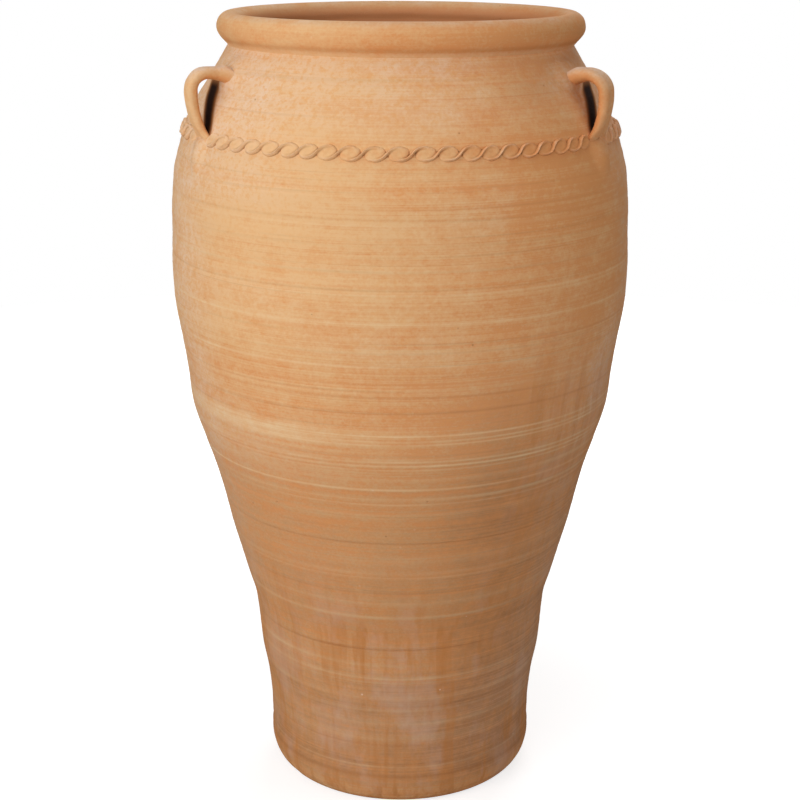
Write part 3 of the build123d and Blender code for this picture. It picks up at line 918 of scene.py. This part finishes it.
# relief: hand-made unevenness, which fades at both ends, and at the groove the shoulder's own relief
uneven = 0.5 * clouds(angle, height, 14, 18.0, 24) + 0.35 * clouds(angle, height, 60, 7.0, 25) - 0.3
uneven *= rises(height, GROOVE_HEIGHT, GROOVE_HEIGHT + 6) * falls(height, JAR_HEIGHT - 3, JAR_HEIGHT)
start = wall_relief(angle, np.full_like(height, GROOVE_HEIGHT))
start = start * falls(height, GROOVE_HEIGHT, GROOVE_HEIGHT + 8) * outer_side
points = to_points(angle, radius + uneven + start, height)

apart = degrees_apart(angle)
throat_share = falls(radius, 218, 226)
lip = falls(height, 1060, 1063) * outer_side
# salts and a painted highlight: a pale line along the crest
crest = bump(height - JAR_HEIGHT, 4.0) * (0.6 + 0.4 * clouds(angle, height, 40, 12.0, 26))
to_right = rises(apart, -36, 12) * not_behind(apart)
# darker to the right, and painted shade at the right edge
right_edge = (0.06 * rises(apart, -10, 60) + 0.10 * rises(apart, 55, 75)) * not_behind(apart)
# painted shade: a crease in the throat and a line under the bulge
creases = 0.22 * bump(height - 1078, 3.0) * inner_side + 0.11 * bump(height - 1064.5, 2.4) * outer_side
tones = {
    "dry_and_painted_light": 0.42 * lip + 0.57 - 0.53 * to_right + 0.25 * rises(height, 1080, 1097),
    "salts_and_highlights": 0.30 * lip + 1.10 * crest,
    "damp_and_painted_shade": 0.06 + right_edge + 0.35 * throat_share * falls(height, 1076, 1092),
    "shade": creases,
    "inside": 0.9 * throat_share * falls(height, 1084, 1101),
}
make_piece("rim_roll_turned", "rim_roll", points, tones, rim_clay)


# %% [markdown]
# A strap handle was pulled from a lump of clay, pressed on at the top, bent over and smeared down on to the wall.
# It is a flat ellipse carried along a line and two arcs. Towards each root it opens out like the foot of a tree,
# and the bell on the wall rises to meet it.

# %% Handles
TOP_ROOT_DEPTH, FOOT_ROOT_DEPTH = 9.0, 11.0
# WEB_DEPTH: how much deeper the strap grows at its upper root. TRUMPET: how far it opens sideways there.
# ROOT_COVER: clay left between a root and the inner face of the wall.
WEB_DEPTH, TRUMPET, ROOT_COVER = 9.0, 4.5, 8.0
STRAP_ROWS, STRAP_COLUMNS, HANDLE_SEED = 150, 72, 100


def strap_line(handle):
    """Radius, height and heading at equal steps along a level line, a quarter bend and an arc into the wall."""
    bend_end = HANDLE_TOP - BEND_RADIUS
    reach = float(outer_radius(bend_end)) + handle["stand_off"]
    top_root = float(outer_radius(HANDLE_TOP)) - TOP_ROOT_DEPTH
    foot_root = float(outer_radius(HANDLE_FOOT)) - FOOT_ROOT_DEPTH
    level = reach - BEND_RADIUS - top_root
    across, down = reach - foot_root, bend_end - HANDLE_FOOT
    arc_radius = (across**2 + down**2) / (2 * across)
    swept = math.asin(down / arc_radius)
    bend = BEND_RADIUS * math.pi / 2
    total = level + bend + arc_radius * swept
    along = np.linspace(0, total, STRAP_ROWS)[:, None]
    turn = np.clip((along - level) / BEND_RADIUS, 0, math.pi / 2)
    sweep = np.clip((along - level - bend) / arc_radius, 0, swept)
    radius = top_root + np.minimum(along, level) + BEND_RADIUS * np.sin(turn) - arc_radius * (1 - np.cos(sweep))
    height = HANDLE_TOP - BEND_RADIUS * (1 - np.cos(turn)) - arc_radius * np.sin(sweep)
    return along, total, radius, height, -turn - sweep


def strap_half_sizes(handle, along, total, radius):
    """Half width and half thickness along the strap, and the web that hangs under its upper root."""
    from_foot = np.maximum(total - 14 - along, 0)
    at_top, pinch = along < 45, handle["pinch"]
    to_wall = np.clip((radius[0] + 43.0 - radius) / 27.0, 0, 1.6) * at_top
    flare = np.exp(-np.maximum(radius - radius[0] - 9.0, 0) / 5.5) * at_top
    web = WEB_DEPTH * to_wall**1.8
    share = 1.0 - handle["slimming"] * rises(along, 30, 90) - 0.34 * pinch * falls(along, 12, 62)
    share = share + 0.55 * np.exp(-from_foot / 10.0)
    half_width = handle["width"] / 2 * share + 3.0 * to_wall**2 + TRUMPET * (1 - pinch) * flare
    half_thickness = STRAP_THICKNESS / 2 * (1.0 - 0.38 * np.exp(-from_foot / 18.0)) + web / 2
    return half_width, half_thickness, web


def make_handle(name, handle, seed):
    """The strap as a tube: centre + normal x thickness x sin + sideways x width x cos, capped inside the wall."""
    along, total, radius, height, heading = strap_line(handle)
    half_width, half_thickness, web = strap_half_sizes(handle, along, total, radius)
    radius = radius + handle["bulge"] * np.sin(math.pi * np.clip((along - 50) / (total - 55), 0, 1))
    around = np.linspace(0, 2 * math.pi, STRAP_COLUMNS, endpoint=False)[None, :]
    sine, cosine = np.sin(around), np.cos(around)
    side = half_width * np.sign(cosine) * np.abs(cosine) ** 0.9
    out = half_thickness * np.sign(sine) * np.abs(sine) ** 0.85
    hollow = 1.3 * bump(side, 4.5) * (sine > 0) * rises(along, 14, 40)
    pressed = 1 - 0.62 * falls(along, 3, 24) * (sine > 0)
    uneven = 0.45 * clouds(around, along, 7, 16.0, seed) + 0.25 * clouds(around, along, 13, 6.0, seed + 1)
    out, side = (out - hollow) * pressed + uneven * sine, side + uneven * cosine

    strap_height = height - 0.45 * web + np.cos(heading) * out
    strap_radius = np.maximum(radius - np.sin(heading) * out, inner_radius(strap_height) + ROOT_COVER)
    turn = math.radians(handle["angle"])
    x = strap_radius * math.sin(turn) + side * math.cos(turn)
    y = -strap_radius * math.cos(turn) + side * math.sin(turn)

    right = 1.0 if handle["angle"] > 0 else 0.0
    # painted shade: the underside is darker, less dry and less salted
    under = np.clip(0.30 - 1.1 * sine, 0, 1)
    # the top is lighter: salts, and painted light from above
    upward = np.clip(sine * np.cos(heading), 0, 1) ** 1.3 * falls(along, 55, 95)
    tones = {
        "dry_and_painted_light": 0.80 - 0.62 * right - 0.65 * under + 0.35 * upward,
        "salts_and_highlights": 0.16 + 0.50 * falls(along, 0, 30) + (1.70 - 0.20 * right) * upward - 0.40 * under,
        "damp_and_painted_shade": 0.02 + 0.06 * right + 0.06 * under,
    }
    ring = np.arange(STRAP_COLUMNS)
    caps = (ring[::-1], (STRAP_ROWS - 1) * STRAP_COLUMNS + ring)
    points = np.stack([x, y, strap_height], axis=-1)
    make_piece(name + "_strap", name, points, tones, hand_clay, (False, True), caps)


for number, (name, handle) in enumerate(HANDLES.items()):
    make_handle(name, handle, HANDLE_SEED + 10 * number)


# %% [markdown]
# The rope band is a strip pressed with the thumb every 29 mm. Each press leaves a leaf-shaped dish, and between two
# dishes the clay stands up as a ridge like a long S, from under the left dish to over the right one. A fine grid
# takes the highest of the leaves and ridges around each of its points.

# %% Rope bands
LEAF_ANGLES = (
    -54.6, -50.0, -44.3, -38.7, -33.2, -27.5, -22.5, -17.7, -12.0, -6.0, -0.4, 6.0, 11.5, 17.2, 22.0, 27.2, 32.7,
    37.4, 42.8, 47.7, 52.5,
)
SIDE_LEAVES, SIDE_PITCH, SIDE_JITTER = 21, 5.35, 0.35
LEAF_HALF_LENGTH, LEAF_HALF_HEIGHT, LEAF_RISE, LEAF_TILT, DISH_DEPTH = 13.4, 8.9, 5.4, 15, 2.6
RIDGE_RISE, RIDGE_HALF_WIDTH, RIDGE_HALF_HEIGHT, RIDGE_REACH, RIDGE_SWAY = 6.8, 1.85, 8.2, 21.0, 2.0
# the strip's grid: half its height, its overhang past the last leaves, its steps, and how deep its back lies
BAND_HALF_HEIGHT, BAND_OVERHANG, BAND_STEP, BAND_ROW_STEP, BAND_DEPTH = 15.0, 15.0, 0.85, 0.8, 2.5
NOWHERE = -1.0  # a height under the wall's face, where a band has no clay


def leaf_height(along, up):
    """One thumb-pressed leaf: the root of an ellipse tilted like a slash, with a dish sunk in its middle."""
    tilt = math.radians(LEAF_TILT)
    long_way = along * math.cos(tilt) + up * math.sin(tilt)
    short_way = up * math.cos(tilt) - along * math.sin(tilt)
    inside_leaf = 1 - (long_way / LEAF_HALF_LENGTH) ** 2 - (short_way / LEAF_HALF_HEIGHT) ** 2
    dish = DISH_DEPTH * bump(long_way, 7.0) * bump(short_way, 4.6)
    return np.where(inside_leaf > 0, LEAF_RISE * np.sqrt(np.clip(inside_leaf, 0, 1)) - dish, NOWHERE)


def ridge_height(along, up):
    """The highest of round sections set along an S: u = 21 sin(f/2) - 2 sin(2f), v = 8.2 sin(f)."""
    best = np.full(along.shape, NOWHERE)
    for f in np.linspace(-math.pi, math.pi, 61):
        middle = RIDGE_REACH * math.sin(f / 2) - RIDGE_SWAY * math.sin(2 * f)
        rise = RIDGE_HALF_HEIGHT * math.sin(f)
        tall = RIDGE_RISE * max(math.cos(f / 2), 0.0) ** 0.8
        width = RIDGE_HALF_WIDTH * (0.65 + 0.35 * math.cos(f / 2))
        off = ((along - middle) ** 2 + (up - rise) ** 2) / width**2
        best = np.maximum(best, np.where(off < 1, tall * np.clip(1 - off, 0, 1) ** 0.7, NOWHERE))
    return best


def soften(field):
    """Round the creases: blur each way with weights 1, 2, 1."""
    padded = np.pad(field, 1, mode="edge")
    across = (padded[:, :-2] + 2 * padded[:, 1:-1] + padded[:, 2:]) / 4
    return (across[:-2] + 2 * across[1:-1] + across[2:]) / 4


def band_lift(centres, along, up, seed):
    """Height of a whole band over the wall: its leaves and the ridges between, the highest wins."""
    random = np.random.default_rng(seed)
    lift = np.full(up.shape, NOWHERE)

    def add(middle, reach, shift, size, shape):
        near = np.abs(along - middle) < reach
        local_along, local_up = np.broadcast_arrays(along[near] - middle, up[:, near] - shift)
        lift[:, near] = np.maximum(lift[:, near], size * shape(local_along, local_up))

    for middle in centres:
        add(middle, 32, random.uniform(-0.6, 0.6), 1.0, leaf_height)
    for middle in (centres[1:] + centres[:-1]) / 2:
        size = random.uniform(0.88, 1.08)
        add(middle, 36, random.uniform(-0.5, 0.5), size, ridge_height)
    return soften(lift)


def make_band(name, direction, leaves, seed):
    """A closed strip: its face is the wall plus the height of leaves and ridges, its back lies inside the wall."""
    level_radius = float(outer_radius(BAND_LEVEL))
    lean = math.atan(-float(outer_slope(BAND_LEVEL)))
    centres = np.radians(np.array(leaves)) * level_radius
    along = np.arange(centres[0] - BAND_OVERHANG, centres[-1] + BAND_OVERHANG, BAND_STEP)
    up = np.arange(-BAND_HALF_HEIGHT, BAND_HALF_HEIGHT + 0.01, BAND_ROW_STEP)[:, None] + 0.0 * along
    lift = band_lift(centres, along, up, seed)
    at_angle = math.radians(direction) + along / level_radius + 0.0 * up
    at_height = BAND_LEVEL + up * math.cos(lean)
    base = outer_radius(at_height) + wall_relief(at_angle, at_height)
    face = to_points(at_angle, base + lift * math.cos(lean), at_height + lift * math.sin(lean))
    back = to_points(at_angle, base - BAND_DEPTH, at_height)[::-1]
    points = np.concatenate([face, back])
    starts = np.arange(len(points)) * len(along)
    caps = (starts, (starts + len(along) - 1)[::-1])

    smooth = lift
    for _ in range(10):
        smooth = soften(smooth)
    # painted shade in the creases round the leaves and ridges
    crease = np.clip((smooth - lift) / 1.2, 0, 1) * (lift > -0.9)
    # painted highlight on the crests of the ridges
    crest = np.clip((lift - smooth) / 1.5, 0, 1)
    dry_and_painted_light, salts_and_highlights, damp_and_painted_shade = (make(at_angle, at_height) for make in (dry_tone, salts_tone, damp_tone))
    tones = {
        "dry_and_painted_light": np.concatenate([dry_and_painted_light, dry_and_painted_light[::-1]]),
        "salts_and_highlights": np.concatenate([0.6 * salts_and_highlights + 0.45 * crest, 0.6 * salts_and_highlights[::-1]]),
        "damp_and_painted_shade": np.concatenate([damp_and_painted_shade, damp_and_painted_shade[::-1]]),
        "shade": np.concatenate([0.42 * crease, 0.0 * crease]),
    }
    make_piece(name + "_lobes", name, points, tones, hand_clay, (True, False), caps)


side_leaves = (np.arange(SIDE_LEAVES) - SIDE_LEAVES // 2) * SIDE_PITCH
loose = np.random.default_rng(8)
make_band("rope_band_front", 0.0, LEAF_ANGLES, 51)
for seed, (name, direction) in enumerate((("rope_band_left", -120.0), ("rope_band_right", 120.0)), 52):
    make_band(name, direction, side_leaves + loose.uniform(-SIDE_JITTER, SIDE_JITTER, SIDE_LEAVES), seed)
